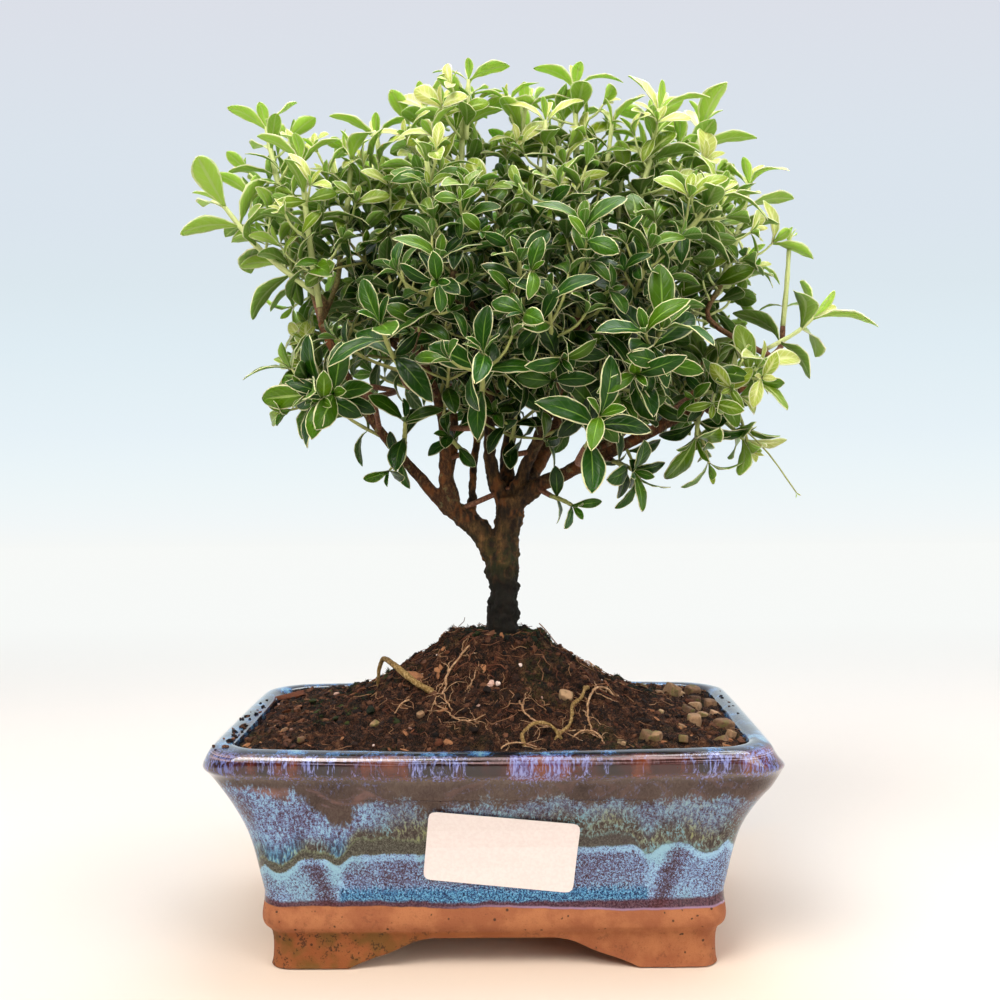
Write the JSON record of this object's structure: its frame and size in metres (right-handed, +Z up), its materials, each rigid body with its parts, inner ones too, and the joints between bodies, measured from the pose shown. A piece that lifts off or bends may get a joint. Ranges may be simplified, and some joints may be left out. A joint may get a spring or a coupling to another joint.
{
  "type": "serissa bonsai",
  "caption": "Small variegated serissa shrub grown as a tree, rooted in a heaped mound of soil in a glazed rectangular pot on cloud-cut feet.",
  "frame": {"origin": "on the ground, in the middle of the box round the whole plant and pot", "axes": "+X to the right along the pot's long side, +Y to the back, +Z up"},
  "size_m": [0.243, 0.1882, 0.308],
  "materials": {
    "glaze": "glossy mottled blue glaze, brown on the edges, bare clay feet",
    "soil": "dark fibrous peat soil with pebbles",
    "bark": "rough flaking bark",
    "label": "smooth white paper, bare",
    "drain_mesh": "matt black plastic",
    "leaf": "glossy green leaves with cream edges"
  },
  "bodies": {
    "root": {"pot": "glaze", "soil": "soil", "trunk_and_branches": "bark", "label": "label", "drain_mesh_left": "drain_mesh", "drain_mesh_right": "drain_mesh", "shoot_01": "leaf", "shoot_02": "leaf", "shoot_03": "leaf", "shoot_04": "leaf", "shoot_05": "leaf", "shoot_06": "leaf", "shoot_07": "leaf", "shoot_08": "leaf", "shoot_09": "leaf", "shoot_10": "leaf", "shoot_11": "leaf", "shoot_12": "leaf", "shoot_13": "leaf", "shoot_14": "leaf", "shoot_15": "leaf", "shoot_16": "leaf", "shoot_17": "leaf", "shoot_18": "leaf", "shoot_19": "leaf", "shoot_20": "leaf", "shoot_21": "leaf", "shoot_22": "leaf", "shoot_23": "leaf", "shoot_24": "leaf", "shoot_25": "leaf", "shoot_26": "leaf", "shoot_27": "leaf", "shoot_28": "leaf", "shoot_29": "leaf", "shoot_30": "leaf", "shoot_31": "leaf", "shoot_32": "leaf", "shoot_33": "leaf", "shoot_34": "leaf", "shoot_35": "leaf", "shoot_36": "leaf", "shoot_37": "leaf", "shoot_38": "leaf", "shoot_39": "leaf", "shoot_40": "leaf", "shoot_41": "leaf", "shoot_42": "leaf", "shoot_43": "leaf", "shoot_44": "leaf", "shoot_45": "leaf", "shoot_46": "leaf", "shoot_47": "leaf", "shoot_48": "leaf", "shoot_49": "leaf", "shoot_50": "leaf", "shoot_51": "leaf", "shoot_52": "leaf", "shoot_53": "leaf", "shoot_54": "leaf"}
  },
  "joints": []
}
